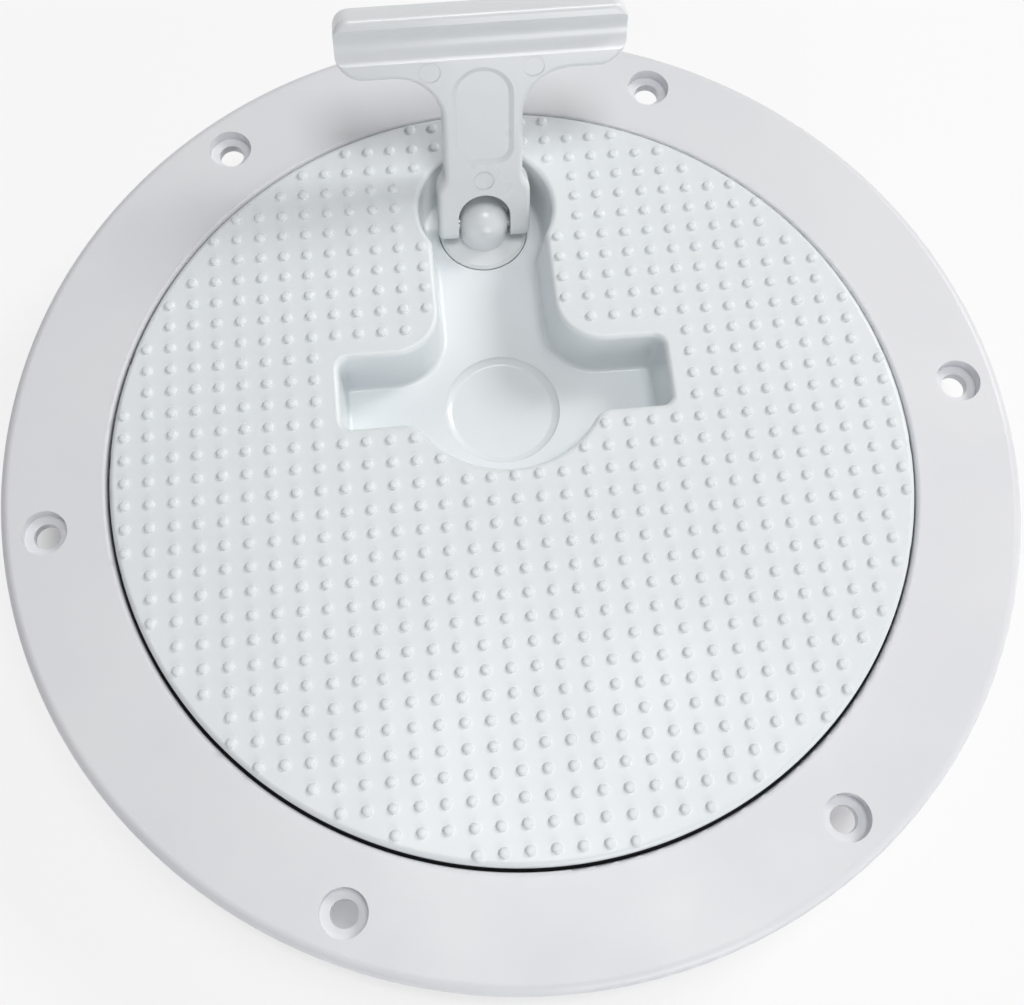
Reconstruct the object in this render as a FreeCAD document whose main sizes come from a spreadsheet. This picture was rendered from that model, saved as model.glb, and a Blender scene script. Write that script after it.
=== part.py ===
import FreeCAD, Part
import math
import os
import Sketcher
from FreeCAD import Placement, Rotation, Vector

# Deck inspection plate: a flat deck ring and a studded lid with a folding T handle in its pocket.
# Row frame: origin on the ring's axis at the deck plane (the flange underside), +Z up,
# +Y toward the end of the pocket where the handle stands, +X to the right.

os.makedirs("parts", exist_ok=True)
doc = FreeCAD.newDocument("deck_inspection_plate")
dims = doc.addObject("Spreadsheet::Sheet", "dims")
dims.Label = "dimensions"

SIZES = (
    ("clear_diameter", 203.0, "clear opening inside the ledge"),
    ("ledge_width", 5.0, "lid's edge beyond the clear opening"),
    ("neck_margin", 5.0, "neck's outside beyond the lid's edge"),
    ("bolt_margin", 12.5, "circle of the screw holes beyond the neck"),
    ("flange_margin", 11.5, "flange beyond the circle of the screw holes"),
    ("flange_thickness", 6.2, "flange above the deck"),
    ("flange_round", 2.8, "round of the flange's top outer edge"),
    ("flange_heel", 0.8, "chamfer of the flange's bottom outer edge"),
    ("neck_wall", 3.4, "wall of the neck"),
    ("neck_depth", 28.0, "neck below the deck plane"),
    ("ledge_thickness", 4.0, "ledge that the lid lies on"),
    ("recess_round", 1.2, "round of the flange's inner edge"),
    ("sealant_width", 2.4, "width of each sealant groove under the flange"),
    ("sealant_depth", 1.0, "depth of each sealant groove"),
    ("bolt_angle", 5.2, "angle of the first screw hole from +X"),
    ("bolt_bore", 7.0, "bore of a screw hole"),
    ("counterbore", 12.0, "counterbore for a pan head"),
    ("counterbore_depth", 3.5, "depth of the counterbore"),
    ("lid_gap", 0.9, "side gap between lid and recess"),
    ("lid_proud", 1.6, "lid's top above the ring's top"),
    ("lid_plate", 3.0, "thickness of the lid's top plate"),
    ("lid_round", 1.5, "round of the lid's top edge"),
    ("lid_seat_gap", 0.2, "gap between the lid's rim and the ledge"),
    ("skirt_clearance", 0.5, "side gap between the skirt and the clear opening"),
    ("seal_drop", 2.8, "top of the seal groove below the lid's top"),
    ("seal_width", 3.4, "width of the seal groove"),
    ("seal_groove_depth", 2.6, "depth of the seal groove"),
    ("seal_play", 0.1, "play of the seal in its groove"),
    ("seal_wall_gap", 0.2, "gap between the seal and the recess wall"),
    ("seal_corner", 0.9, "chamfer of the seal's outer corners"),
    ("channel_gap", 2.9, "side gap between the fork and the channel's wall at the top"),
    ("stow_gap", 1.4, "gap between the folded handle and the pocket's floor"),
    ("floor_round", 1.3, "round along the pocket's floor"),
    ("bulge_setback", 1.8, "centre of the channel's round end before the spindle"),
    ("bulge_radius", 19.1, "radius of the round end"),
    ("bulge_blend", 3.0, "blend between channel and round end"),
    ("arm_end_gap", 6.25, "gap between the bar's end and the arm's end"),
    ("arm_near_gap", 1.9, "gap between the folded bar and the arm's near wall"),
    ("arm_far_gap", 1.6, "gap between the folded bar and the arm's far wall"),
    ("arm_round", 3.0, "corners of the cross arm"),
    ("cross_round", 13.0, "corners between channel and cross arm"),
    ("well_reach", 53.4, "centre of the finger well from the spindle"),
    ("well_radius", 28.3, "radius of the finger well"),
    ("well_blend", 5.0, "blend between well and cross arm"),
    ("pocket_draft", 5.0, "draft of the pocket's walls"),
    ("pocket_round", 1.6, "round of the pocket's top edge"),
    ("pocket_wall", 2.6, "wall of the pocket's shell"),
    ("pocket_floor", 2.8, "floor of the pocket's shell"),
    ("medallion_reach", 57.4, "centre of the bare round medallion from the spindle"),
    ("medallion_radius", 16.2, "radius of the medallion"),
    ("medallion_rim", 1.5, "width of its rim"),
    ("medallion_height", 0.9, "height of its rim above the floor"),
    ("rib_count", 12.0, "radial ribs under the lid"),
    ("rib_thickness", 2.4, "thickness of a rib"),
    ("rib_depth", 7.0, "depth of a rib below the plate"),
    ("rib_inner", 20.0, "inner end of a rib from the axis"),
    ("stud_pitch", 6.4, "square spacing of the non-slip studs"),
    ("stud_radius", 1.4, "foot of a stud"),
    ("stud_height", 0.7, "height of a stud"),
    ("stud_root", 0.3, "root of a stud below the lid's top"),
    ("stud_rim_margin", 2.2, "outermost studs' centres inside the lid's edge"),
    ("stud_pocket_margin", 2.0, "studs' centres clear of the pocket's edge"),
    ("tab_angle", 9.0, "angle that one hold-down tab covers"),
    ("tab_spread", 15.0, "angle of each tab from the -Y side"),
    ("tab_thickness", 3.0, "thickness of a tab"),
    ("tab_reach", 3.6, "reach of a tab under the ledge"),
    ("tab_gap", 0.3, "gap between a tab and the ledge"),
    ("tab_leg", 3.4, "leg that carries a tab"),
    ("spindle_inset", 24.1, "spindle's axis inside the clear opening's edge"),
    ("pin_drop", 11.2, "hinge pin below the lid's top"),
    ("pin_diameter", 4.0, "hinge pin"),
    ("pin_clearance", 0.12, "clearance of the handle's bore on the pin"),
    ("pin_inset", 0.5, "pin's end inside the cheek's face"),
    ("post_radius", 7.2, "post of the spindle"),
    ("disc_radius", 12.8, "disc of the spindle"),
    ("disc_thickness", 2.4, "thickness of the disc"),
    ("disc_bevel", 0.8, "bevel of the disc's rim"),
    ("lug_gap", 0.4, "gap between the handle's lugs and the disc"),
    ("seat_side_gap", 0.3, "side gap round the disc in its seat"),
    ("seat_floor_gap", 0.25, "gap under the disc"),
    ("shaft_radius", 5.0, "shaft of the spindle"),
    ("shaft_clearance", 0.2, "clearance of the shaft in its boss"),
    ("boss_wall", 2.9, "wall of the upper boss round the seat"),
    ("boss_floor", 2.6, "boss floor under the seat"),
    ("boss_neck_wall", 5.3, "wall of the lower boss round the shaft"),
    ("boss_length", 6.5, "boss below the seat"),
    ("shaft_seal_groove", 1.4, "depth of the groove for the spindle seal"),
    ("shaft_seal_width", 2.0, "width of that groove"),
    ("drive_size", 8.0, "square drive at the spindle's foot"),
    ("drive_clearance", 0.1, "play of the drive in the tongue"),
    ("tongue_thickness", 3.0, "thickness of the latch tongue"),
    ("tongue_width", 16.0, "width of the latch tongue"),
    ("tongue_cover", 4.1, "reach of the tongue under the ledge"),
    ("tongue_tail", 9.0, "tail of the tongue behind the axis"),
    ("tongue_crank_gap", 0.5, "start of the tongue's crank beyond the upper boss"),
    ("tongue_crank_run", 4.5, "length of the crank"),
    ("tongue_ledge_gap", 0.3, "gap between the tongue and the ledge"),
    ("tongue_boss_gap", 0.3, "gap between the tongue and the boss"),
    ("tongue_corner", 4.0, "corners of the tongue"),
    ("washer_radius", 6.5, "latch washer"),
    ("washer_thickness", 1.2, "thickness of the washer"),
    ("screw_radius", 2.4, "shank of the latch screw"),
    ("screw_length", 12.0, "shank below the head"),
    ("screw_head_radius", 4.4, "head of the latch screw"),
    ("screw_head_height", 2.4, "height of the head"),
    ("screw_fit", 0.1, "fit of the screw in the spindle"),
    ("screw_socket", 3.0, "across flats of the screw's socket"),
    ("handle_lean", 26.0, "how far the open handle leans back from upright"),
    ("stem_half_width", 11.0, "half width of the handle's stem"),
    ("handle_thickness", 8.8, "thickness of the handle"),
    ("cheek_thickness", 5.7, "each cheek of the fork"),
    ("cheek_height", 11.5, "where the shoulders of the fork start"),
    ("shoulder_length", 6.5, "length of the shoulders down to the stem"),
    ("slot_side_gap", 0.3, "side gap between fork and post"),
    ("arch_rise", 3.7, "centre of the fork's arch above the pin"),
    ("bar_low", 47.8, "inner edge of the grip bar from the pin"),
    ("bar_width", 17.2, "width of the grip bar"),
    ("bar_half_length", 38.5, "half length of the grip bar"),
    ("bar_low_round", 7.5, "inner corners of the bar"),
    ("bar_high_round", 4.5, "outer corners of the bar"),
    ("bar_blend", 13.0, "blend from stem to bar"),
    ("handle_round", 1.6, "edge round of the handle"),
    ("band_width", 4.7, "flat band between the bar's inner edge and its groove"),
    ("groove_width", 9.7, "width of the finger groove along the bar"),
    ("groove_depth", 2.0, "depth of the finger groove"),
    ("dish_half_width", 8.5, "half width of the shallow dish in the stem"),
    ("dish_depth", 0.8, "depth of the dish"),
    ("dish_slope", 60.0, "slope of the dish's soft wall from upright"),
    ("dish_start", 21.0, "lower end of the dish from the pin"),
    ("dish_corner", 5.0, "lower corners of the dish"),
    ("dish_band_overlap", 2.2, "reach of the dish's round end past the bar's inner edge"),
    ("mark_radius", 2.8, "round ejector mark"),
    ("mark_depth", 0.2, "depth of an ejector mark"),
    ("mark_rise", 4.7, "lower mark above the fork's arch"),
    ("mark_side", 2.8, "upper marks beside the stem"),
    ("mark_band_rise", 1.5, "upper marks above the bar's inner edge"),
)
row = 1
for alias, value, note in SIZES:
    dims.set("A%d" % row, alias.replace("_", " "))
    dims.set("B%d" % row, str(value))
    dims.setAlias("B%d" % row, alias)
    dims.set("C%d" % row, note)
    row += 1
doc.recompute()


class Size:
    """A dimension that carries its number and its spreadsheet expression together."""

    def __init__(self, number, text):
        self.number = float(number)
        self.text = text

    def __add__(self, other):
        other = size(other)
        return Size(self.number + other.number, "(%s + %s)" % (self.text, other.text))

    def __sub__(self, other):
        other = size(other)
        return Size(self.number - other.number, "(%s - %s)" % (self.text, other.text))

    def __mul__(self, other):
        other = size(other)
        return Size(self.number * other.number, "(%s * %s)" % (self.text, other.text))

    def __truediv__(self, other):
        other = size(other)
        return Size(self.number / other.number, "(%s / %s)" % (self.text, other.text))

    def __neg__(self):
        return Size(-self.number, "(0 - %s)" % self.text)

    __radd__ = __add__
    __rmul__ = __mul__


def size(thing):
    if isinstance(thing, Size):
        return thing
    return Size(thing, repr(float(thing)))


def root(thing):
    return Size(math.sqrt(thing.number), "sqrt(%s)" % thing.text)


def cosine(thing):
    return Size(math.cos(math.radians(thing.number)), "cos(%s)" % thing.text)


def sine(thing):
    return Size(math.sin(math.radians(thing.number)), "sin(%s)" % thing.text)


def tangent(thing):
    return Size(math.tan(math.radians(thing.number)), "tan(%s)" % thing.text)


class Sheet:
    """Reads a named cell as a Size."""

    def __getattr__(self, alias):
        return Size(dims.get(alias), "dims." + alias)


S = Sheet()


def bind(thing, name, value):
    value = size(value)
    if isinstance(getattr(thing, name), int):
        setattr(thing, name, int(round(value.number)))
    else:
        setattr(thing, name, value.number)
    thing.setExpression(name, value.text)


def new_body(name):
    body = doc.addObject("PartDesign::Body", name)
    body.Label = name
    return body


def origin_item(body, role):
    return [item for item in body.Origin.OriginFeatures if item.Role == role][0]


def new_sketch(body, name, plane, offset):
    """Sketch on one of the body's own origin planes, moved along the plane's normal."""
    sketch = body.newObject("Sketcher::SketchObject", name)
    sketch.AttachmentSupport = [(origin_item(body, plane), "")]
    sketch.MapMode = "FlatFace"
    offset = size(offset)
    sketch.AttachmentOffset = Placement(Vector(0, 0, offset.number), Rotation())
    sketch.setExpression("AttachmentOffset.Base.z", offset.text)
    return sketch


def pin_point(sketch, item, end, point):
    """Hold one end of a sketch line or arc at a named place."""
    for kind, value in (("DistanceX", size(point[0])), ("DistanceY", size(point[1]))):
        number = sketch.addConstraint(Sketcher.Constraint(kind, -1, 1, item, end, value.number))
        sketch.setExpression("Constraints[%d]" % number, value.text)


def path(sketch, start, steps):
    """Closed outline. A step is (x, y) for a line, or (x, y, cx, cy, radius, turn) for an arc
    with turn +1 counter-clockwise and -1 clockwise."""
    here = start
    ends = []
    for step in steps:
        a = Vector(size(here[0]).number, size(here[1]).number, 0)
        b = Vector(size(step[0]).number, size(step[1]).number, 0)
        if len(step) == 2:
            item = sketch.addGeometry(Part.LineSegment(a, b))
            ends.append((item, 1, 2))
        else:
            centre = Vector(size(step[2]).number, size(step[3]).number, 0)
            first, last = (a, b) if step[5] > 0 else (b, a)
            angle_a = math.atan2(first.y - centre.y, first.x - centre.x)
            angle_b = math.atan2(last.y - centre.y, last.x - centre.x)
            if angle_b <= angle_a:
                angle_b += 2 * math.pi
            circle = Part.Circle(centre, Vector(0, 0, 1), size(step[4]).number)
            item = sketch.addGeometry(Part.ArcOfCircle(circle, angle_a, angle_b))
            ends.append((item, 1, 2) if step[5] > 0 else (item, 2, 1))
            # The ends are held below; the centre is held along the chord's bisector.
            side = abs(b.x - a.x) > abs(b.y - a.y)
            kind, held = ("DistanceY", size(step[3])) if side else ("DistanceX", size(step[2]))
            number = sketch.addConstraint(Sketcher.Constraint(kind, -1, 1, item, 3, held.number))
            sketch.setExpression("Constraints[%d]" % number, held.text)
        here = step
    for place, (item, begin, end) in enumerate(ends):
        following = ends[(place + 1) % len(ends)]
        sketch.addConstraint(Sketcher.Constraint("Coincident", item, end, following[0], following[1]))
        pin_point(sketch, item, end, steps[place])
    return sketch


def polygon(sketch, points):
    return path(sketch, points[-1], points)


def circle(sketch, x, y, radius):
    centre = Vector(size(x).number, size(y).number, 0)
    radius = size(radius)
    item = sketch.addGeometry(Part.Circle(centre, Vector(0, 0, 1), radius.number))
    pin_point(sketch, item, 3, (x, y))
    number = sketch.addConstraint(Sketcher.Constraint("Radius", item, radius.number))
    sketch.setExpression("Constraints[%d]" % number, radius.text)
    return sketch


def pad(body, name, sketch, length, down=False, middle=False, draft=None):
    feature = body.newObject("PartDesign::Pad", name)
    feature.Profile = sketch
    bind(feature, "Length", length)
    feature.Reversed = down
    feature.Midplane = middle
    if draft is not None:
        bind(feature, "TaperAngle", draft)
    return feature


def pocket(body, name, sketch, length, up=False, middle=False, draft=None):
    """Cut along the sketch's normal, downward by default."""
    feature = body.newObject("PartDesign::Pocket", name)
    feature.Profile = sketch
    bind(feature, "Length", length)
    feature.Reversed = up
    feature.Midplane = middle
    if draft is not None:
        bind(feature, "TaperAngle", draft)
    return feature


def revolve(body, name, sketch):
    feature = body.newObject("PartDesign::Revolution", name)
    feature.Profile = sketch
    feature.ReferenceAxis = (sketch, ["V_Axis"])
    feature.Angle = 360.0
    return feature


def edge_names(shape, test):
    """Edges of which every sampled point passes the test."""
    names = []
    for number, edge in enumerate(shape.Edges):
        if edge.Degenerated:
            continue
        points = edge.discretize(7)
        if all(test(point) for point in points):
            names.append("Edge%d" % (number + 1))
    return names


def fillet(body, name, radius, test):
    doc.recompute()
    base = body.Tip
    feature = body.newObject("PartDesign::Fillet", name)
    feature.Base = (base, edge_names(base.Shape, test))
    bind(feature, "Radius", radius)
    return feature


def chamfer(body, name, width, test):
    doc.recompute()
    base = body.Tip
    feature = body.newObject("PartDesign::Chamfer", name)
    feature.Base = (base, edge_names(base.Shape, test))
    bind(feature, "Size", width)
    return feature


def polar(body, name, original, axis, count, angle=360.0):
    feature = body.newObject("PartDesign::PolarPattern", name)
    feature.Originals = [original]
    feature.Axis = (origin_item(body, axis), [""])
    feature.Angle = angle
    bind(feature, "Occurrences", count)
    body.Tip = feature
    return feature


def mirror(body, name, original, plane):
    feature = body.newObject("PartDesign::Mirrored", name)
    feature.Originals = [original]
    feature.MirrorPlane = (origin_item(body, plane), [""])
    body.Tip = feature
    return feature


def near(a, b, tolerance=0.02):
    return abs(a - size(b).number) < tolerance


def radial(point):
    return math.hypot(point.x, point.y)


# Places and levels that several pieces share.
clear_radius = S.clear_diameter / 2
lid_radius = clear_radius + S.ledge_width
recess_radius = lid_radius + S.lid_gap
neck_radius = lid_radius + S.neck_margin
neck_inner = neck_radius - S.neck_wall
bolt_radius = neck_radius + S.bolt_margin
flange_radius = bolt_radius + S.flange_margin
spindle_y = clear_radius - S.spindle_inset
lug = S.handle_thickness / 2
slot = S.post_radius + S.slot_side_gap
cheek = slot + S.cheek_thickness
bar_high = S.bar_low + S.bar_width
lid_top = S.flange_thickness + S.lid_proud
plate_bottom = lid_top - S.lid_plate
pin_level = lid_top - S.pin_drop
disc_top = pin_level - lug - S.lug_gap
disc_bottom = disc_top - S.disc_thickness
seat_floor = disc_bottom - S.seat_floor_gap
seat_radius = S.disc_radius + S.seat_side_gap
boss_radius = seat_radius + S.boss_wall
boss_bottom = seat_floor - S.boss_length
tongue_foot_top = boss_bottom - S.tongue_boss_gap
tongue_foot_bottom = tongue_foot_top - S.tongue_thickness
# The folded handle lies just above the pocket's floor. The tongue's tip turns under the pocket's
# shell, and the ledge lies just above the tip.
pocket_depth = S.pin_drop + lug + S.stow_gap
floor = lid_top - pocket_depth
tongue_top = floor - S.pocket_floor - S.tongue_ledge_gap
ledge_bottom = tongue_top + S.tongue_ledge_gap
ledge_top = ledge_bottom + S.ledge_thickness
rim_bottom = ledge_top + S.lid_seat_gap

# Deck ring: flange, recess for the lid, ledge and neck in one turned profile.
ring = new_body("deck_ring")
sketch = new_sketch(ring, "ring_profile", "XZ_Plane", 0)
groove_a = (neck_radius + bolt_radius - S.bolt_bore / 2) / 2
groove_b = (flange_radius + bolt_radius + S.bolt_bore / 2) / 2
half = S.sealant_width / 2
polygon(sketch, [
    (clear_radius, ledge_bottom), (neck_inner, ledge_bottom), (neck_inner, -S.neck_depth),
    (neck_radius, -S.neck_depth), (neck_radius, size(0)),
    (groove_a - half, size(0)), (groove_a - half, S.sealant_depth),
    (groove_a + half, S.sealant_depth), (groove_a + half, size(0)),
    (groove_b - half, size(0)), (groove_b - half, S.sealant_depth),
    (groove_b + half, S.sealant_depth), (groove_b + half, size(0)),
    (flange_radius, size(0)), (flange_radius, S.flange_thickness), (recess_radius, S.flange_thickness),
    (recess_radius, ledge_top), (clear_radius, ledge_top)])
revolve(ring, "ring_turned", sketch)
fillet(ring, "flange_edge", S.flange_round,
       lambda p: near(p.z, S.flange_thickness) and near(radial(p), flange_radius))
fillet(ring, "recess_edge", S.recess_round,
       lambda p: near(p.z, S.flange_thickness) and near(radial(p), recess_radius))
chamfer(ring, "flange_heel_edge", S.flange_heel, lambda p: near(p.z, 0) and near(radial(p), flange_radius))
chamfer(ring, "neck_foot_edge", S.flange_heel,
        lambda p: near(p.z, -S.neck_depth) and near(radial(p), neck_radius))
hole_x = bolt_radius * cosine(S.bolt_angle)
hole_y = bolt_radius * sine(S.bolt_angle)
sketch = circle(new_sketch(ring, "bore_circle", "XY_Plane", S.flange_thickness), hole_x, hole_y,
                S.bolt_bore / 2)
bore = pocket(ring, "screw_bore", sketch, S.flange_thickness + 1)
doc.recompute()
polar(ring, "screw_bores", bore, "Z_Axis", 6)
sketch = circle(new_sketch(ring, "counterbore_circle", "XY_Plane", S.flange_thickness), hole_x, hole_y,
                S.counterbore / 2)
bore = pocket(ring, "screw_counterbore", sketch, S.counterbore_depth)
doc.recompute()
polar(ring, "screw_counterbores", bore, "Z_Axis", 6)
doc.recompute()

# Lid: turned plate with its skirt and seal groove, then the pocket's shell, ribs, pocket and boss.
lid = new_body("lid_moulding")
skirt_radius = clear_radius - S.skirt_clearance
groove_radius = lid_radius - S.seal_groove_depth
seal_top = lid_top - S.seal_drop
seal_bottom = seal_top - S.seal_width
sketch = new_sketch(lid, "lid_profile", "XZ_Plane", 0)
polygon(sketch, [
    (size(0), lid_top), (size(0), plate_bottom), (skirt_radius - S.lid_plate, plate_bottom),
    (skirt_radius - S.lid_plate, rim_bottom), (lid_radius, rim_bottom), (lid_radius, seal_bottom),
    (groove_radius, seal_bottom), (groove_radius, seal_top), (lid_radius, seal_top),
    (lid_radius, lid_top)])
revolve(lid, "lid_turned", sketch)


def pocket_outline(name, grow):
    """Plan of the pocket at the lid's top, grown by a wall: finger well, cross arm, channel and round end."""
    sketch = new_sketch(lid, name, "XY_Plane", lid_top)
    near_y = spindle_y - bar_high - S.arm_near_gap - grow
    far_y = spindle_y - S.bar_low + S.arm_far_gap + grow
    side = S.bar_half_length + S.arm_end_gap + grow
    corner = S.arm_round + grow
    well_y = spindle_y - S.well_reach
    well = S.well_radius + grow
    blend = S.well_blend - grow
    blend_y = near_y - blend
    blend_x = root((well + blend) * (well + blend) - (well_y - blend_y) * (well_y - blend_y))
    touch = well / (well + blend)
    touch_x = blend_x * touch
    touch_y = well_y + (blend_y - well_y) * touch
    half = cheek + S.channel_gap + grow
    cross = S.cross_round - grow
    bulge_y = spindle_y - S.bulge_setback
    bulge = S.bulge_radius + grow
    bend = S.bulge_blend - grow
    bend_x = half + bend
    bend_y = bulge_y - root((bulge + bend) * (bulge + bend) - bend_x * bend_x)
    share = bulge / (bulge + bend)
    meet_x = bend_x * share
    meet_y = bulge_y + (bend_y - bulge_y) * share
    low = size(0)
    return path(sketch, (-touch_x, touch_y), [
        (touch_x, touch_y, low, well_y, well, 1),
        (blend_x, near_y, blend_x, blend_y, blend, -1),
        (side - corner, near_y),
        (side, near_y + corner, side - corner, near_y + corner, corner, 1),
        (side, far_y - corner),
        (side - corner, far_y, side - corner, far_y - corner, corner, 1),
        (half + cross, far_y),
        (half, far_y + cross, half + cross, far_y + cross, cross, -1),
        (half, bend_y),
        (meet_x, meet_y, bend_x, bend_y, bend, -1),
        (-meet_x, meet_y, low, bulge_y, bulge, 1),
        (-half, bend_y, -bend_x, bend_y, bend, -1),
        (-half, far_y + cross),
        (-(half + cross), far_y, -(half + cross), far_y + cross, cross, -1),
        (-(side - corner), far_y),
        (-side, far_y - corner, -(side - corner), far_y - corner, corner, 1),
        (-side, near_y + corner),
        (-(side - corner), near_y, -(side - corner), near_y + corner, corner, 1),
        (-blend_x, near_y),
        (-touch_x, touch_y, -blend_x, blend_y, blend, -1)])


shell = pocket_outline("shell_outline", S.pocket_wall)
pad(lid, "shell", shell, pocket_depth + S.pocket_floor, down=True, draft=-S.pocket_draft)
sketch = new_sketch(lid, "rib_outline", "XY_Plane", plate_bottom)
half = S.rib_thickness / 2
polygon(sketch, [(S.rib_inner, -half), (skirt_radius - 1, -half), (skirt_radius - 1, half),
                 (S.rib_inner, half)])
rib = pad(lid, "rib", sketch, S.rib_depth, down=True)
doc.recompute()
polar(lid, "ribs", rib, "Z_Axis", S.rib_count)
sketch = circle(new_sketch(lid, "boss_circle", "XY_Plane", plate_bottom), 0, spindle_y, boss_radius)
pad(lid, "boss", sketch, plate_bottom - seat_floor + S.boss_floor, down=True)
sketch = circle(new_sketch(lid, "boss_neck_circle", "XY_Plane", seat_floor), 0, spindle_y,
                S.shaft_radius + S.shaft_clearance + S.boss_neck_wall)
pad(lid, "boss_neck", sketch, S.boss_length, down=True)
doc.recompute()
cut = pocket_outline("pocket_outline", size(0))
pocket(lid, "pocket", cut, pocket_depth, draft=-S.pocket_draft)
fillet(lid, "floor_edge", S.floor_round, lambda p: near(p.z, floor))
fillet(lid, "pocket_edge", S.pocket_round,
       lambda p: near(p.z, lid_top) and radial(p) < lid_radius.number - 2)
fillet(lid, "lid_edge", S.lid_round, lambda p: near(p.z, lid_top) and near(radial(p), lid_radius))
sketch = circle(new_sketch(lid, "seat_circle", "XY_Plane", floor + 1), 0, spindle_y, seat_radius)
pocket(lid, "seat", sketch, floor + 1 - seat_floor)
sketch = circle(new_sketch(lid, "shaft_circle", "XY_Plane", seat_floor), 0, spindle_y,
                S.shaft_radius + S.shaft_clearance)
pocket(lid, "shaft_hole", sketch, S.boss_length + 1)
sketch = new_sketch(lid, "medallion_rings", "XY_Plane", floor)
circle(sketch, 0, spindle_y - S.medallion_reach, S.medallion_radius)
circle(sketch, 0, spindle_y - S.medallion_reach, S.medallion_radius - S.medallion_rim)
pad(lid, "medallion", sketch, S.medallion_height)
sketch = new_sketch(lid, "tab_profile", "YZ_Plane", 0)
tab_top = ledge_bottom - S.tab_gap
polygon(sketch, [
    (-(skirt_radius - S.tab_leg), rim_bottom + 1), (-(skirt_radius - S.tab_leg), tab_top - S.tab_thickness),
    (-(clear_radius + S.tab_reach), tab_top - S.tab_thickness), (-(clear_radius + S.tab_reach), tab_top),
    (-skirt_radius, tab_top), (-skirt_radius, rim_bottom + 1)])
sketch.AttachmentOffset = Placement(Vector(), Rotation(Vector(0, -1, 0), S.tab_spread.number))
sketch.setExpression("AttachmentOffset.Rotation.Angle", S.tab_spread.text)
tab = revolve(lid, "tab", sketch)
tab.Midplane = True
bind(tab, "Angle", S.tab_angle)
doc.recompute()
mirror(lid, "tabs", tab, "YZ_Plane")
doc.recompute()


def stud(x, y):
    """Six-sided pyramid with its root under the lid's top."""
    spread = (S.stud_height + S.stud_root).number / S.stud_height.number
    low = lid_top.number - S.stud_root.number
    foot = [Vector(x + S.stud_radius.number * spread * math.cos(math.radians(60 * corner)),
                   y + S.stud_radius.number * spread * math.sin(math.radians(60 * corner)), low)
            for corner in range(6)]
    peak = Vector(x, y, lid_top.number + S.stud_height.number)
    faces = [Part.Face(Part.makePolygon(foot + foot[:1]))]
    for corner in range(6):
        faces.append(Part.Face(Part.makePolygon([foot[corner], foot[(corner + 1) % 6], peak, foot[corner]])))
    return Part.Solid(Part.Shell(faces))


# Studs: a square lattice over the lid's top, left out along the rim and over the pocket.
pocket_face = Part.Face(cut.Shape.Wires[0])
reach = (lid_radius - S.stud_rim_margin).number
count = int(reach / S.stud_pitch.number)
studs = []
for column in range(-count, count + 1):
    for line in range(-count, count + 1):
        x = column * S.stud_pitch.number
        y = line * S.stud_pitch.number
        place = Part.Vertex(x, y, lid_top.number)
        if math.hypot(x, y) <= reach and pocket_face.distToShape(place)[0] > S.stud_pocket_margin.number:
            studs.append(stud(x, y))
studded = doc.addObject("Part::Feature", "lid")
studded.Label = "lid"
studded.Shape = lid.Shape.fuse(studs)
print("studs", len(studs))

# Seal of the lid: a soft ring with chamfered outer corners in the rim's groove.
seal = new_body("lid_seal")
sketch = new_sketch(seal, "seal_profile", "XZ_Plane", 0)
seal_inner = groove_radius + S.seal_play
seal_outer = recess_radius - S.seal_wall_gap
seal_low = seal_bottom + S.seal_play
seal_high = seal_top - S.seal_play
corner = S.seal_corner
polygon(sketch, [
    (seal_inner, seal_low), (seal_outer - corner, seal_low), (seal_outer, seal_low + corner),
    (seal_outer, seal_high - corner), (seal_outer - corner, seal_high), (seal_inner, seal_high)])
revolve(seal, "seal_turned", sketch)
doc.recompute()

# Spindle: post with a ball nose, disc, shaft with a seal groove, square drive at the foot.
spindle = new_body("spindle")
sketch = new_sketch(spindle, "spindle_profile", "XZ_Plane", 0)
groove_centre = boss_bottom + S.boss_length / 2
groove_inner = S.shaft_radius - S.shaft_seal_groove
half = S.shaft_seal_width / 2
path(sketch, (size(0), tongue_foot_top), [
    (S.shaft_radius, tongue_foot_top),
    (S.shaft_radius, groove_centre - half), (groove_inner, groove_centre - half),
    (groove_inner, groove_centre + half), (S.shaft_radius, groove_centre + half),
    (S.shaft_radius, disc_bottom), (S.disc_radius, disc_bottom), (S.disc_radius, disc_top),
    (S.post_radius, disc_top), (S.post_radius, pin_level),
    (size(0), pin_level + S.post_radius, size(0), pin_level, S.post_radius, 1),
    (size(0), tongue_foot_top)])
revolve(spindle, "spindle_turned", sketch)
chamfer(spindle, "disc_edge", S.disc_bevel, lambda p: near(p.z, disc_top) and near(radial(p), S.disc_radius))
half = S.drive_size / 2
sketch = new_sketch(spindle, "drive_square", "XY_Plane", tongue_foot_top)
polygon(sketch, [(-half, -half), (half, -half), (half, half), (-half, half)])
pad(spindle, "drive", sketch, S.tongue_thickness - 0.2, down=True)
sketch = circle(new_sketch(spindle, "screw_circle", "XY_Plane", tongue_foot_bottom - 1), 0, 0,
                S.screw_radius + S.screw_fit)
pocket(spindle, "screw_hole", sketch, S.screw_length + 1, up=True)
sketch = circle(new_sketch(spindle, "pin_circle", "YZ_Plane", 0), 0, pin_level, S.pin_diameter / 2)
pocket(spindle, "pin_hole", sketch, S.post_radius * 2 + 2, middle=True)
spindle.Placement.Base = Vector(0, spindle_y.number, 0)
spindle.setExpression("Placement.Base.y", spindle_y.text)
doc.recompute()

# Seal of the spindle: a small ring in the shaft's groove.
ring_seal = doc.addObject("Part::Torus", "spindle_seal")
ring_seal.Label = "spindle_seal"
bind(ring_seal, "Radius1", S.shaft_radius + 0.05 - S.shaft_seal_groove / 2)
bind(ring_seal, "Radius2", S.shaft_seal_groove / 2)
ring_seal.setExpression("Placement.Base.y", spindle_y.text)
ring_seal.setExpression("Placement.Base.z", groove_centre.text)
doc.recompute()

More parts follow.
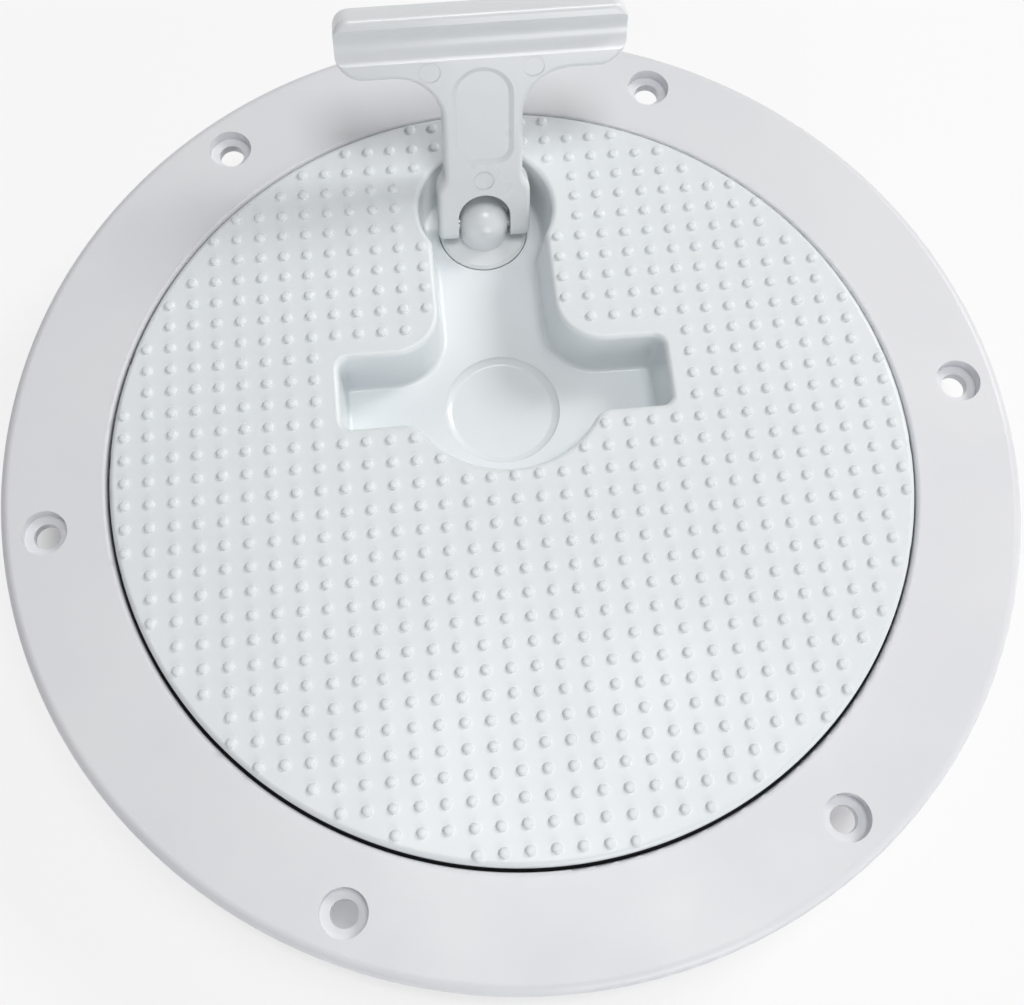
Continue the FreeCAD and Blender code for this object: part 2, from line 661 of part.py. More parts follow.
# Latch tongue: a cranked strip that reaches from the spindle's foot up to the ledge's underside.
tongue = new_body("latch_tongue")
sketch = new_sketch(tongue, "tongue_profile", "YZ_Plane", 0)
crank_start = boss_radius + S.tongue_crank_gap
crank_end = crank_start + S.tongue_crank_run
tip = S.spindle_inset + S.tongue_cover
tongue_bottom = tongue_top - S.tongue_thickness
step_back = S.tongue_thickness / 2
polygon(sketch, [
    (-S.tongue_tail, tongue_foot_bottom), (crank_start + step_back, tongue_foot_bottom),
    (crank_end + step_back, tongue_bottom), (tip, tongue_bottom), (tip, tongue_top),
    (crank_end - step_back, tongue_top), (crank_start - step_back, tongue_foot_top),
    (-S.tongue_tail, tongue_foot_top)])
pad(tongue, "strip", sketch, S.tongue_width, middle=True)
fillet(tongue, "tongue_corners", S.tongue_corner,
       lambda p: near(abs(p.x), S.tongue_width / 2)
       and (near(p.y, tip) or near(p.y, -S.tongue_tail)))
half = S.drive_size / 2 + S.drive_clearance
sketch = new_sketch(tongue, "drive_hole_square", "XY_Plane", tongue_foot_top + 1)
polygon(sketch, [(-half, -half), (half, -half), (half, half), (-half, half)])
pocket(tongue, "drive_hole", sketch, S.tongue_thickness + 2)
tongue.Placement.Base = Vector(0, spindle_y.number, 0)
tongue.setExpression("Placement.Base.y", spindle_y.text)
doc.recompute()

# Washer and screw that hold the tongue on its drive.
washer = new_body("latch_washer")
sketch = new_sketch(washer, "washer_rings", "XY_Plane", tongue_foot_bottom)
circle(sketch, 0, 0, S.washer_radius)
circle(sketch, 0, 0, S.screw_radius + S.screw_fit)
pad(washer, "washer_disc", sketch, S.washer_thickness, down=True)
washer.Placement.Base = Vector(0, spindle_y.number, 0)
washer.setExpression("Placement.Base.y", spindle_y.text)
screw = new_body("latch_screw")
head_top = tongue_foot_bottom - S.washer_thickness
sketch = circle(new_sketch(screw, "head_circle", "XY_Plane", head_top), 0, 0, S.screw_head_radius)
pad(screw, "head", sketch, S.screw_head_height, down=True)
chamfer(screw, "head_edge", S.screw_head_height / 4, lambda p: near(p.z, head_top - S.screw_head_height))
sketch = circle(new_sketch(screw, "shank_circle", "XY_Plane", head_top), 0, 0, S.screw_radius)
pad(screw, "shank", sketch, S.screw_length - 1)
sketch = new_sketch(screw, "socket_hexagon", "XY_Plane", head_top - S.screw_head_height)
reach = S.screw_socket / math.sqrt(3.0)
half = S.screw_socket / 2
polygon(sketch, [(reach, size(0)), (reach / 2, half), (-(reach / 2), half), (-reach, size(0)),
                 (-(reach / 2), -half), (reach / 2, -half)])
pocket(screw, "socket", sketch, S.screw_head_height / 2, up=True)
screw.Placement.Base = Vector(0, spindle_y.number, 0)
screw.setExpression("Placement.Base.y", spindle_y.text)
doc.recompute()

# Hinge pin through the post and the fork's cheeks.
pin = doc.addObject("Part::Cylinder", "hinge_pin")
pin.Label = "hinge_pin"
bind(pin, "Radius", S.pin_diameter / 2)
bind(pin, "Height", (cheek - S.pin_inset) * 2)
pin.Placement = Placement(Vector(0, 0, 0), Rotation(Vector(0, 1, 0), 90))
pin.setExpression("Placement.Base.x", (-(cheek - S.pin_inset)).text)
pin.setExpression("Placement.Base.y", spindle_y.text)
pin.setExpression("Placement.Base.z", pin_level.text)
doc.recompute()

# Handle, drawn upright with the pin at its origin: fork, stem and grip bar, grip side toward -Y.
handle = new_body("handle")
stem = S.stem_half_width
shoulder_end = S.cheek_height + S.shoulder_length
inset = cheek - stem
shoulder = (S.shoulder_length * S.shoulder_length + inset * inset) / (inset * 4)
waist_y = (S.cheek_height + shoulder_end) / 2
waist_x = (cheek + stem) / 2
turn_y = S.bar_low - S.bar_blend
bar_x = S.bar_half_length
low_r = S.bar_low_round
high_r = S.bar_high_round
blend_x = stem + S.bar_blend
arch = S.arch_rise
sketch = new_sketch(handle, "front_outline", "XZ_Plane", 0)
path(sketch, (slot, -lug), [
    (cheek, -lug), (cheek, S.cheek_height),
    (waist_x, waist_y, cheek - shoulder, S.cheek_height, shoulder, 1),
    (stem, shoulder_end, stem + shoulder, shoulder_end, shoulder, -1),
    (stem, turn_y), (blend_x, S.bar_low, blend_x, turn_y, S.bar_blend, -1),
    (bar_x - low_r, S.bar_low),
    (bar_x, S.bar_low + low_r, bar_x - low_r, S.bar_low + low_r, low_r, 1),
    (bar_x, bar_high - high_r),
    (bar_x - high_r, bar_high, bar_x - high_r, bar_high - high_r, high_r, 1),
    (-(bar_x - high_r), bar_high),
    (-bar_x, bar_high - high_r, -(bar_x - high_r), bar_high - high_r, high_r, 1),
    (-bar_x, S.bar_low + low_r),
    (-(bar_x - low_r), S.bar_low, -(bar_x - low_r), S.bar_low + low_r, low_r, 1),
    (-blend_x, S.bar_low), (-stem, turn_y, -blend_x, turn_y, S.bar_blend, -1), (-stem, shoulder_end),
    (-waist_x, waist_y, -(stem + shoulder), shoulder_end, shoulder, -1),
    (-cheek, S.cheek_height, -(cheek - shoulder), S.cheek_height, shoulder, 1),
    (-cheek, -lug), (-slot, -lug), (-slot, arch),
    (slot, arch, size(0), arch, slot, -1), (slot, -lug)])
pad(handle, "fork_stem_and_bar", sketch, S.handle_thickness, middle=True)
sketch = circle(new_sketch(handle, "pin_bore_circle", "YZ_Plane", 0), 0, 0,
                S.pin_diameter / 2 + S.pin_clearance)
pocket(handle, "pin_bore", sketch, cheek * 2 + 2, middle=True)
slot_top = slot + arch
fillet(handle, "lug_ends", lug - 0.1, lambda p: near(p.z, -lug) and near(abs(p.y), lug))
fillet(handle, "handle_edges", S.handle_round,
       lambda p: near(abs(p.y), lug) and p.z > -0.12
       and (abs(p.x) > slot.number + 0.5 or p.z > slot_top.number + 0.5))
# The finger groove runs along the whole bar; its radius follows from its width and depth.
groove_start = S.bar_low + S.band_width
groove_half = S.groove_width / 2
groove_radius_y = (groove_half * groove_half + S.groove_depth * S.groove_depth) / (S.groove_depth * 2)
sketch = circle(new_sketch(handle, "groove_circle", "YZ_Plane", 0),
                -(lug + groove_radius_y - S.groove_depth), groove_start + groove_half, groove_radius_y)
pocket(handle, "finger_groove", sketch, bar_x * 2 + 2, middle=True)
dish = S.dish_half_width
dish_end = S.bar_low + S.dish_band_overlap
corner = S.dish_corner
sketch = new_sketch(handle, "dish_outline", "XZ_Plane", lug)
path(sketch, (-dish, S.dish_start + corner), [
    (-(dish - corner), S.dish_start, -(dish - corner), S.dish_start + corner, corner, 1),
    (dish - corner, S.dish_start),
    (dish, S.dish_start + corner, dish - corner, S.dish_start + corner, corner, 1),
    (dish, dish_end - dish),
    (-dish, dish_end - dish, size(0), dish_end - dish, dish, 1),
    (-dish, S.dish_start + corner)])
pocket(handle, "dish", sketch, S.dish_depth, draft=-S.dish_slope)
sketch = new_sketch(handle, "mark_circles", "XZ_Plane", lug)
circle(sketch, 0, slot_top + S.mark_rise, S.mark_radius)
circle(sketch, stem + S.mark_side, S.bar_low + S.mark_band_rise, S.mark_radius)
circle(sketch, -(stem + S.mark_side), S.bar_low + S.mark_band_rise, S.mark_radius)
pocket(handle, "ejector_marks", sketch, S.mark_depth)
doc.recompute()
handle.Placement = Placement(Vector(0, spindle_y.number, pin_level.number),
                             Rotation(Vector(-1, 0, 0), S.handle_lean.number))
handle.setExpression("Placement.Base.y", spindle_y.text)
handle.setExpression("Placement.Base.z", pin_level.text)
handle.setExpression("Placement.Rotation.Angle", S.handle_lean.text)
doc.recompute()

NODES = (ring, studded, seal, spindle, ring_seal, tongue, washer, screw, pin, handle)
for item in doc.Objects:
    if "Invalid" in item.State or "Error" in item.State:
        raise RuntimeError("%s did not build: %s" % (item.Name, item.State))
for node in NODES:
    if node.Shape.isNull() or not node.Shape.isValid() or len(node.Shape.Solids) != 1:
        raise RuntimeError("%s has no single valid solid" % node.Label)
for node in NODES:
    node.Shape.exportStep(os.path.join("parts", node.Label + ".step"))
    box = node.Shape.BoundBox
    print("%-13s volume %10.1f  x %7.2f %7.2f  y %7.2f %7.2f  z %7.2f %7.2f" % (
        node.Label, node.Shape.Volume, box.XMin, box.XMax, box.YMin, box.YMax, box.ZMin, box.ZMax))
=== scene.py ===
import math

import bmesh
import bpy
import numpy as np
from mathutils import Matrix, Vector


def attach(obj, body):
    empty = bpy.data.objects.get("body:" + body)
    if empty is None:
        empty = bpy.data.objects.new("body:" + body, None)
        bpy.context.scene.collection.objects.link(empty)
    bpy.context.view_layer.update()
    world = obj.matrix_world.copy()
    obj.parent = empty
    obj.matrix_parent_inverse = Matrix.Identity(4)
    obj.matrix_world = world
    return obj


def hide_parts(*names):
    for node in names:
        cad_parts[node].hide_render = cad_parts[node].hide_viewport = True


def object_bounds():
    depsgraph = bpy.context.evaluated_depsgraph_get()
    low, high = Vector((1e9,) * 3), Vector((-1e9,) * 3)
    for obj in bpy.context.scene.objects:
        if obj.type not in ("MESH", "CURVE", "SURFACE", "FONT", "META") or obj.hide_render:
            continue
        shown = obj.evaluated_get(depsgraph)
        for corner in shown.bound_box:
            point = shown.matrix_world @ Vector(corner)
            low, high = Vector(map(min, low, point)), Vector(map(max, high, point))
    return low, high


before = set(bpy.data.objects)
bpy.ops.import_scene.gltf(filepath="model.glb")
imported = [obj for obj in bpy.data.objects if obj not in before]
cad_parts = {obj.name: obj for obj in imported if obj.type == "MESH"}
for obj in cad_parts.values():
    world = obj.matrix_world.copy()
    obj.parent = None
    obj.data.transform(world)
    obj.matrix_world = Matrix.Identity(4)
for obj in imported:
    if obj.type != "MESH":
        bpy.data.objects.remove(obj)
cad_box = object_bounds()
MM = 0.001

# The picture is taken from above the near edge of the plate, a hand's breadth to the left,
# with a normal lens; the plate sits low and right of the lens axis.
camera_data = bpy.data.cameras.new("viewpoint")
camera_data.sensor_width = 36.0
camera_data.lens = 47.46
camera_data.shift_x = 0.0519
camera_data.shift_y = -0.0020
camera_data.clip_start = 0.01
camera = bpy.data.objects.new("viewpoint", camera_data)
camera.location = (-0.03030, -0.12996, 0.34021)
camera.rotation_euler = [math.radians(turn) for turn in (19.6345, -0.7053, -5.1933)]
bpy.context.scene.collection.objects.link(camera)
bpy.context.scene.camera = camera
bpy.context.scene.view_settings.view_transform = "Standard"


# White sheet that the plate stands on. It is plain matt paper, bright enough to read as white
# round the plate, and it still takes the plate's shadow. From below it isn't seen.
def hex_colour(code):
    """Turns an sRGB hex code into linear red, green, blue and alpha."""
    parts = [int(code[place:place + 2], 16) / 255 for place in (1, 3, 5)]
    return tuple(p / 12.92 if p <= 0.04045 else ((p + 0.055) / 1.055) ** 2.4 for p in parts) + (1.0,)


def add_node(tree, kind, settings=(), **links):
    """Adds one shader node, sets its values, and links or sets its named inputs."""
    made = tree.nodes.new(kind)
    for name, value in settings:
        setattr(made, name, value)
    for name, value in links.items():
        key = int(name[1:]) if name[0] == "_" and name[1:].isdigit() else name.replace("_", " ")
        if isinstance(value, bpy.types.NodeSocket):
            tree.links.new(value, made.inputs[key])
        else:
            made.inputs[key].default_value = value
    return made


def blank_material(name):
    """A new node material with its output only."""
    material = bpy.data.materials.new(name)
    material.use_nodes = True
    material.node_tree.nodes.clear()
    return material, material.node_tree


def mesh_object(name, points, faces, material):
    """A smooth-shaded mesh object at the origin from arrays of points in metres and of faces."""
    mesh = bpy.data.meshes.new(name)
    mesh.from_pydata(points.tolist(), [], faces.tolist() if hasattr(faces, "tolist") else faces)
    mesh.materials.append(material)
    mesh.shade_smooth()
    made = bpy.data.objects.new(name, mesh)
    bpy.context.scene.collection.objects.link(made)
    return made


paper, tree = blank_material("matt white paper")
where = add_node(tree, "ShaderNodeNewGeometry")
reach = add_node(tree, "ShaderNodeVectorMath", [("operation", "LENGTH")], _0=where.outputs["Position"])
beside = add_node(tree, "ShaderNodeMapRange", Value=reach.outputs["Value"], From_Min=128 * MM, From_Max=141 * MM,
                  To_Min=0.0, To_Max=0.75)
soft_white = add_node(tree, "ShaderNodeBsdfDiffuse", Color=hex_colour("#F4F4F5"))
clean_white = add_node(tree, "ShaderNodeEmission", Color=(1, 1, 1, 1), Strength=1.0)
path_of_light = add_node(tree, "ShaderNodeLightPath")
straight = add_node(tree, "ShaderNodeMath", [("operation", "MAXIMUM")], _0=path_of_light.outputs["Is Camera Ray"],
                    _1=path_of_light.outputs["Is Transmission Ray"])
mirrored = add_node(tree, "ShaderNodeMath", [("operation", "MAXIMUM")], _0=straight.outputs[0],
                    _1=path_of_light.outputs["Is Glossy Ray"])
seen = add_node(tree, "ShaderNodeMath", [("operation", "MULTIPLY")], _0=mirrored.outputs[0], _1=beside.outputs[0])
blend_white = add_node(tree, "ShaderNodeMixShader", _0=seen.outputs[0], _1=soft_white.outputs[0],
                       _2=clean_white.outputs[0])
clear = add_node(tree, "ShaderNodeBsdfTransparent")
one_sided = add_node(tree, "ShaderNodeMixShader", _0=where.outputs["Backfacing"], _1=blend_white.outputs[0],
                     _2=clear.outputs[0])
add_node(tree, "ShaderNodeOutputMaterial", Surface=one_sided.outputs[0])
foot = cad_box[0][2]
span = 3.0
corners = np.array([(-span, -span, foot), (span, -span, foot), (span, span, foot), (-span, span, foot)])
sheet = mesh_object("paper_sheet", corners, np.array([(0, 1, 2, 3)]), paper)


# Daylight from a large window above and to the upper right, and a pale room round it.
world = bpy.data.worlds.new("pale room")
bpy.context.scene.world = world
world.use_nodes = True
world.node_tree.nodes.clear()
room = add_node(world.node_tree, "ShaderNodeBackground", Color=hex_colour("#FAFAFC"), Strength=0.24)
backdrop = add_node(world.node_tree, "ShaderNodeBackground", Color=(1, 1, 1, 1), Strength=1.0)
ray = add_node(world.node_tree, "ShaderNodeLightPath")
walls_of_room = add_node(world.node_tree, "ShaderNodeMixShader", _0=ray.outputs["Is Camera Ray"],
                         _1=room.outputs[0], _2=backdrop.outputs[0])
add_node(world.node_tree, "ShaderNodeOutputWorld", Surface=walls_of_room.outputs[0])


def window(name, place, aim, size, watts, colour):
    """A square soft light that faces a point."""
    data = bpy.data.lights.new(name, "AREA")
    data.shape = "SQUARE"
    data.size = size
    data.energy = watts
    data.color = hex_colour(colour)[:3]
    light = bpy.data.objects.new(name, data)
    x, y, z = (place[k] - aim[k] for k in range(3))
    light.location = place
    light.rotation_euler = (math.acos(z / math.sqrt(x * x + y * y + z * z)), 0, math.atan2(x, -y))
    bpy.context.scene.collection.objects.link(light)


window("window_above", (0.20, 0.02, 1.60), (0, 0, 0), 0.60, 9.0, "#FFFFFF")
window("window_right", (1.22, 0.73, 1.08), (0, 0, 0), 0.50, 12.6, "#FFFDF9")
window("window_front", (0.26, -0.95, 0.24), (0, 0.08, 0.02), 0.45, 3.1, "#FFFFFF")


# Deck ring: one injection moulding in white ASA plastic. Its face is satin from the mould, with the
# faintest cloudiness, and its edges are rounded where the two halves of the mould meet.
def flat_regions(shape):
    """Area of the flat region that each face belongs to: faces joined by edges that hardly turn."""
    region = list(range(len(shape.faces)))

    def top(face):
        while region[face] != face:
            region[face] = region[region[face]]
            face = region[face]
        return face

    for edge in shape.edges:
        if edge.is_manifold and edge.calc_face_angle(1.0) < math.radians(0.4):
            region[top(edge.link_faces[0].index)] = top(edge.link_faces[1].index)
    area = np.zeros(len(shape.faces))
    for face in shape.faces:
        area[top(face.index)] += face.calc_area()
    return [area[top(face.index)] for face in shape.faces]


FLAT_AREA = 60 * MM * MM


def round_circles(shape, longest=2.0 * MM, cuts=3):
    """Splits the long chords of the circles round the plate's axis and moves the new points out to
    the true radius, so that no rim shows corners."""
    chords = []
    radii = {}
    for edge in shape.edges:
        a, b = (point.co for point in edge.verts)
        radius = math.hypot(a.x, a.y)
        level = abs(a.z - b.z) < 1e-6 and abs(radius - math.hypot(b.x, b.y)) < 1e-5
        if level and radius > 90 * MM and edge.calc_length() > longest:
            chords.append(edge)
            radii.setdefault(round(a.z / 1e-5), set()).add(radius)
    split = bmesh.ops.subdivide_edges(shape, edges=chords, cuts=cuts, use_single_edge=True, use_grid_fill=True)
    for point in split["geom_inner"]:
        if isinstance(point, bmesh.types.BMVert):
            now = math.hypot(point.co.x, point.co.y)
            near = [radius for radius in radii.get(round(point.co.z / 1e-5), ())
                    if -1e-6 < radius - now < 0.12 * MM]
            if near:
                point.co.xy = point.co.xy.normalized() * min(near)


def round_normal(point, rounds):
    """The true normal of a turned edge round at a point, or None off the rounds. A round is given by
    its centre circle's radius and height and by its own radius, in millimetres."""
    radius = math.hypot(point.x, point.y)
    for across, height, size in rounds:
        out, up = radius / MM - across, point.z / MM - height
        if radius > 0 and abs(math.hypot(out, up) - size) < 0.02 and up > -0.02:
            return Vector((point.x / radius * out, point.y / radius * out, up)).normalized()
    return None


def finished_copy(node, name, material, turn=40.0, change=None, rounds=()):
    """A copy of a moulded node with its triangles joined and its normals set as on the real rounds.
    At each corner of a face the normal is the mean of the faces round it that turn less than the
    given angle, each counted by its flat region's area, so a round runs into a flat with no crease.
    A large flat joins only what hardly turns from it, so a slope beside it keeps its edge.
    A change, where one is given, works on the joined mesh first, and turned rounds take their true
    normals."""
    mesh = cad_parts[node].data.copy()
    mesh.name = name
    shape = bmesh.new()
    shape.from_mesh(mesh)
    bmesh.ops.remove_doubles(shape, verts=shape.verts, dist=2e-6)
    if change:
        change(shape)
    bmesh.ops.triangulate(shape, faces=shape.faces)
    shape.normal_update()
    shape.faces.ensure_lookup_table()
    shape.faces.index_update()
    area = flat_regions(shape)
    limit = math.cos(math.radians(turn))
    flat_limit = math.cos(math.radians(22.0))
    normals = []
    for face in shape.faces:
        face.smooth = True
        for corner in face.loops:
            mean = face.normal * 0.0
            for other in corner.vert.link_faces:
                beside_flat = max(area[other.index], area[face.index]) > FLAT_AREA
                if other.normal.dot(face.normal) > (flat_limit if beside_flat else limit):
                    mean += other.normal * area[other.index]
            normals.append(round_normal(corner.vert.co, rounds) or mean.normalized())
    shape.to_mesh(mesh)
    shape.free()
    mesh.normals_split_custom_set(normals)
    mesh.materials.clear()
    mesh.materials.append(material)
    made = bpy.data.objects.new(name, mesh)
    bpy.context.scene.collection.objects.link(made)
    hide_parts(node)
    return made


def moulded_plastic(name, colour, cloud_colour, roughness, coat, grain_mm, depth_mm, polished_below=None,
                    witness=()):
    """White moulded plastic: a body colour that drifts slightly where the melt flowed, a fine satin
    grain from the mould, and a soft gloss. Below the given height in metres the mould was polished:
    no grain there, and a crisp gloss. Each witness circle, left by an ejector's rim, is a fine raised
    ring about a centre in metres."""
    material, tree = blank_material(name)
    place = add_node(tree, "ShaderNodeTexCoord")
    flow = add_node(tree, "ShaderNodeTexNoise", Vector=place.outputs["Object"], Scale=1 / (38 * MM), Detail=3.0)
    drift = add_node(tree, "ShaderNodeMapRange", Value=flow.outputs[0], From_Min=0.35, From_Max=0.65,
                     To_Min=0.0, To_Max=1.0)
    tint = add_node(tree, "ShaderNodeMix", [("data_type", "RGBA")], Factor=drift.outputs[0],
                    _6=hex_colour(colour), _7=hex_colour(cloud_colour))
    grain = add_node(tree, "ShaderNodeTexNoise", Vector=place.outputs["Object"], Scale=1 / (grain_mm * MM),
                     Detail=2.0)
    bump = add_node(tree, "ShaderNodeBump", Height=grain.outputs[0], Distance=depth_mm * MM, Strength=1.0)
    gloss = coat
    if polished_below is not None:
        height = add_node(tree, "ShaderNodeSeparateXYZ", Vector=place.outputs["Object"])
        textured = add_node(tree, "ShaderNodeMapRange", Value=height.outputs[2], To_Min=0.0, To_Max=1.0,
                            From_Min=polished_below - 0.8 * MM, From_Max=polished_below)
        tree.links.new(textured.outputs[0], bump.inputs["Strength"])
        gloss = add_node(tree, "ShaderNodeMapRange", Value=textured.outputs[0], To_Min=0.5, To_Max=coat).outputs[0]
    for centre, radius in witness:
        off = add_node(tree, "ShaderNodeVectorMath", [("operation", "DISTANCE")], _0=place.outputs["Object"],
                       _1=centre)
        gap = add_node(tree, "ShaderNodeMath", [("operation", "COMPARE")], _0=off.outputs["Value"], _1=radius,
                       _2=0.16 * MM)
        bump = add_node(tree, "ShaderNodeBump", Height=gap.outputs[0], Distance=0.25 * MM, Strength=1.0,
                        Normal=bump.outputs[0])
    sheen = add_node(tree, "ShaderNodeMapRange", Value=flow.outputs[0], From_Min=0.3, From_Max=0.7,
                     To_Min=roughness - 0.04, To_Max=roughness + 0.05)
    body = add_node(tree, "ShaderNodeBsdfPrincipled", Base_Color=tint.outputs[2], Roughness=sheen.outputs[0],
                    Normal=bump.outputs[0], IOR=1.50, Coat_Weight=gloss, Coat_Roughness=0.14,
                    Subsurface_Weight=0.08, Subsurface_Radius=(0.004, 0.0038, 0.0036), Subsurface_Scale=0.4)
    add_node(tree, "ShaderNodeOutputMaterial", Surface=body.outputs[0])
    return material


ring_plastic = moulded_plastic("moulded white ASA, satin", "#EAEBEE", "#E6E7EB", 0.42, 0.06, 0.9, 0.004)
ring = finished_copy("deck_ring", "ring_moulding", ring_plastic, change=round_circles,
                     rounds=((108.6, 5.0, 1.2), (132.7, 3.4, 2.8)))
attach(ring, "frame")

# Lid: a second moulding in the same plastic, slightly bluer, with a fine texture on its top.
lid_plastic = moulded_plastic("moulded white ASA, fine texture", "#EDF2F4", "#EAEFF2", 0.40, 0.10, 0.7, 0.006,
                              polished_below=7.4 * MM)
FLOOR = -9.2 * MM
MEDALLION_Y = 20.0 * MM
MEDALLION_RADIUS = 16.2 * MM
# The slope's outline: radius in millimetres and depth below the pocket's floor.
MEDALLION_SLOPE = ((16.1, 0.18), (15.95, 0.45), (15.5, 0.80), (14.6, 1.22), (14.2, 1.38), (13.9, 1.42))


def lid_change(shape):
    """Rounds the lid's circles and sinks the bare medallion in the finger well: its edge slopes down
    to a flat disc."""
    round_circles(shape)
    disc = [face for face in shape.faces
            if all(math.hypot(point.co.x, point.co.y - MEDALLION_Y) < MEDALLION_RADIUS + 0.05 * MM
                   and FLOOR - 0.05 * MM < point.co.z < FLOOR + 1.0 * MM for point in face.verts)]
    bmesh.ops.delete(shape, geom=disc, context="FACES")
    mouth = [point for point in shape.verts if point.is_boundary
             and abs(math.hypot(point.co.x, point.co.y - MEDALLION_Y) - MEDALLION_RADIUS) < 0.1 * MM]
    mouth.sort(key=lambda point: math.atan2(point.co.y - MEDALLION_Y, point.co.x))
    last = mouth
    for radius, depth in MEDALLION_SLOPE:
        share = radius / 16.2
        following = [shape.verts.new((point.co.x * share, MEDALLION_Y + (point.co.y - MEDALLION_Y) * share,
                                      FLOOR - depth * MM)) for point in mouth]
        for place in range(len(mouth)):
            after = (place + 1) % len(mouth)
            shape.faces.new((last[place], last[after], following[after], following[place]))
        last = following
    shape.faces.new(last)


lid = finished_copy("lid", "lid_moulding", lid_plastic, change=lid_change, rounds=((105.0, 6.3, 1.5),))
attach(lid, "lid")

# Studs: low round buttons moulded on the lid in a square lattice, for grip under a bare foot. They
# stop at the lid's edge and keep clear of the pocket's mouth.
STUD_PITCH = 6.4
STUD_RADIUS = 1.42
STUD_HEIGHT = 0.78
LATTICE_EDGE = 16.3
LID_TOP = 7.8


def outside(x, y, cx, cy, half_x, half_y):
    """Distance from a point to a rectangle, negative inside."""
    dx = np.abs(x - cx) - half_x
    dy = np.abs(y - cy) - half_y
    return np.hypot(np.maximum(dx, 0), np.maximum(dy, 0)) + np.minimum(np.maximum(dx, dy), 0)


def pocket_distance(x, y):
    """Distance from a point of the lid's top to the pocket's mouth: the nearest of its channel, its
    cross arm, its round end and its finger well, with the two wide corners between them."""
    channel = outside(x, y, 0, 50.0, 16.1, 26.0)
    arm = outside(x, y, 0, 20.85, 44.75, 10.35)
    bulge = np.hypot(x, y - 75.6) - 19.1
    well = np.where(y < 21.0, np.hypot(x, y - 24.0) - 28.3, 99.0)
    corner = np.where((np.abs(x) < 29.1) & (y > 21.0) & (y < 44.2),
                      13.0 - np.hypot(np.abs(x) - 29.1, y - 44.2), 99.0)
    return np.minimum.reduce([channel, arm, bulge, well, corner])


column, line = np.meshgrid(np.arange(-17, 18), np.arange(-17, 18))
on_lid = column ** 2 + line ** 2 <= LATTICE_EDGE ** 2
free = pocket_distance(column * STUD_PITCH, line * STUD_PITCH) > 1.6
stud_x = (column[on_lid & free] * STUD_PITCH).ravel()
stud_y = (line[on_lid & free] * STUD_PITCH).ravel()
# A stud's outline over its radius: steep foot, rounded shoulder and nearly flat crown.
stud_r = STUD_RADIUS * np.array([1.08, 1.0, 0.86, 0.5])
stud_z = STUD_HEIGHT * np.array([-0.10, 0.30, 0.82, 0.99])
sides = 12
angle = np.arange(sides) * 2 * np.pi / sides
one = np.stack([np.outer(stud_r, np.cos(angle)).ravel(), np.outer(stud_r, np.sin(angle)).ravel(),
                np.repeat(stud_z, sides)], 1)
one = np.vstack([one, [(0, 0, STUD_HEIGHT)]])
step = np.arange(sides)
after = (step + 1) % sides
walls = [(level * sides + step[k], level * sides + after[k], (level + 1) * sides + after[k],
          (level + 1) * sides + step[k]) for level in range(3) for k in range(sides)]
crown = [(3 * sides + step[k], 3 * sides + after[k], 4 * sides) for k in range(sides)]
centres = np.stack([stud_x, stud_y, np.full(len(stud_x), LID_TOP)], 1)
points = (centres[:, None, :] + one[None, :, :]).reshape(-1, 3) * MM
faces = [tuple(int(v) + len(one) * n for v in face) for n in range(len(centres)) for face in walls + crown]
studs = mesh_object("lid_studs", points, faces, lid_plastic)
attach(studs, "lid")
print("studs", len(centres))

# Lid seal: black rubber ring in the groove of the lid's rim.
rubber, tree = blank_material("moulded black rubber")
place = add_node(tree, "ShaderNodeTexCoord")
talc = add_node(tree, "ShaderNodeTexNoise", Vector=place.outputs["Object"], Scale=1 / (1.5 * MM), Detail=3.0)
tone = add_node(tree, "ShaderNodeMix", [("data_type", "RGBA")], Factor=talc.outputs[0],
                _6=hex_colour("#101012"), _7=hex_colour("#1A1A1C"))
skin = add_node(tree, "ShaderNodeBsdfPrincipled", Base_Color=tone.outputs[2], Roughness=0.55, IOR=1.52)
add_node(tree, "ShaderNodeOutputMaterial", Surface=skin.outputs[0])
seal = finished_copy("lid_seal", "lid_seal_ring", rubber)
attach(seal, "lid")

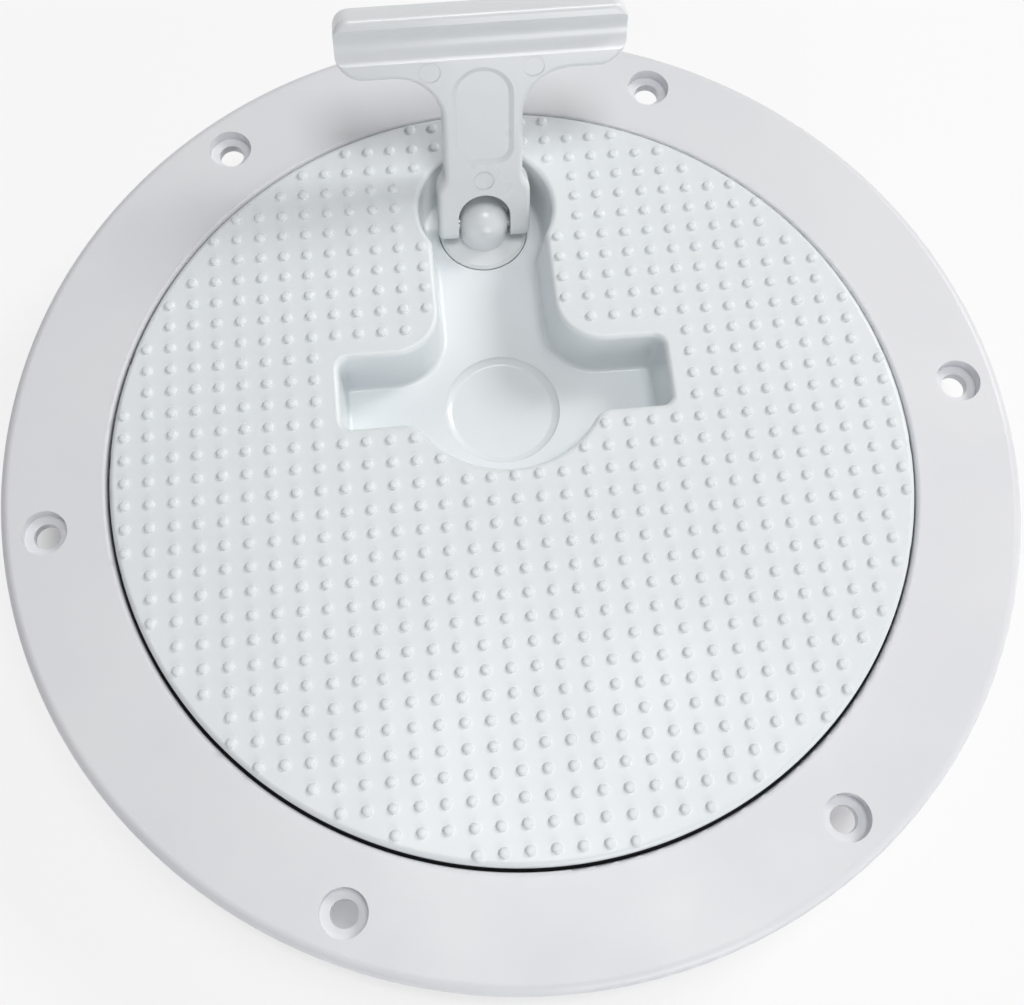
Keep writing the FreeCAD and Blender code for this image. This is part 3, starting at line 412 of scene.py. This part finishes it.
# Spindle: moulded post with a ball nose on a bevelled disc.
post_plastic = moulded_plastic("moulded white nylon, satin", "#EAEDEE", "#E7EAEC", 0.30, 0.35, 0.8, 0.004)
spindle = finished_copy("spindle", "spindle_post", post_plastic)
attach(spindle, "spindle")

# Handle: moulded T handle with a fork at its foot. The three round marks on its face are where the
# mould's ejector pins pushed.
LEAN = math.radians(26.0)


def on_handle_face(across, along):
    """A point of the leaning handle's front face, from its place across and along the handle in mm."""
    return (across * MM, (77.4 - 4.4 * math.cos(LEAN) + along * math.sin(LEAN)) * MM,
            (-3.4 + 4.4 * math.sin(LEAN) + along * math.cos(LEAN)) * MM)


ejectors = [(on_handle_face(0, 15.9), 2.8 * MM), (on_handle_face(-13.8, 49.3), 2.8 * MM),
            (on_handle_face(13.8, 49.3), 2.8 * MM)]
handle_plastic = moulded_plastic("moulded white nylon with ejector marks", "#EAEDEE", "#E7EAEC", 0.30, 0.35, 0.8, 0.004,
                                 witness=ejectors)
handle = finished_copy("handle", "handle_moulding", handle_plastic)
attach(handle, "handle")

# Pin, tongue, washer and screw: stainless steel, brushed.
steel, tree = blank_material("brushed stainless steel")
place = add_node(tree, "ShaderNodeTexCoord")
stretch = add_node(tree, "ShaderNodeMapping", Vector=place.outputs["Object"], Scale=(30.0, 1.0, 30.0))
lines_of_brush = add_node(tree, "ShaderNodeTexNoise", Vector=stretch.outputs[0], Scale=120.0, Detail=2.0)
polish = add_node(tree, "ShaderNodeMapRange", Value=lines_of_brush.outputs[0], To_Min=0.24, To_Max=0.4)
metal = add_node(tree, "ShaderNodeBsdfPrincipled", Base_Color=hex_colour("#B9BBBD"), Metallic=1.0,
                 Roughness=polish.outputs[0])
add_node(tree, "ShaderNodeOutputMaterial", Surface=metal.outputs[0])
for node in ("hinge_pin", "latch_tongue", "latch_washer", "latch_screw"):
    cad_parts[node].data.materials.clear()
    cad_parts[node].data.materials.append(steel)
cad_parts["spindle_seal"].data.materials.clear()
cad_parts["spindle_seal"].data.materials.append(rubber)
